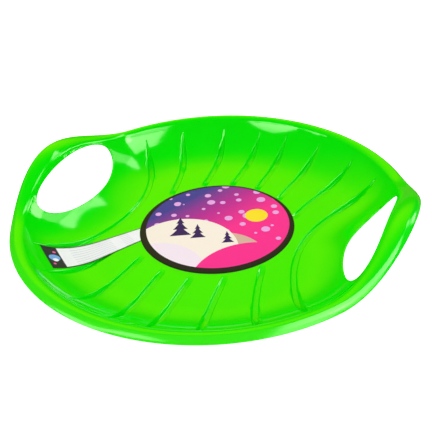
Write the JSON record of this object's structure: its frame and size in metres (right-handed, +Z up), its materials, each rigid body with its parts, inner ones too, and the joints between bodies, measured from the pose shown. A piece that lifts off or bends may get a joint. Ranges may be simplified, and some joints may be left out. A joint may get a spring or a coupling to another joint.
{
  "type": "saucer sled",
  "caption": "Round moulded snow saucer: a shallow ribbed dish with a rolled rim that rises into hand grips over slots in the wall, and stickers on its floor.",
  "frame": {"origin": "middle of the rim's circle, at the height of the runner undersides that the sled rests on", "axes": "+X through one hand grip, +Y along the ribs (the way it slides), +Z up"},
  "size_m": [0.57, 0.57, 0.0945],
  "materials": {
    "shell_plastic": "glossy moulded polyethylene",
    "vinyl_label": "printed vinyl sticker",
    "paper_label": "printed paper sticker"
  },
  "bodies": {
    "root": {"shell": "shell_plastic", "round_label": "vinyl_label", "strip_label": "paper_label"}
  },
  "joints": []
}
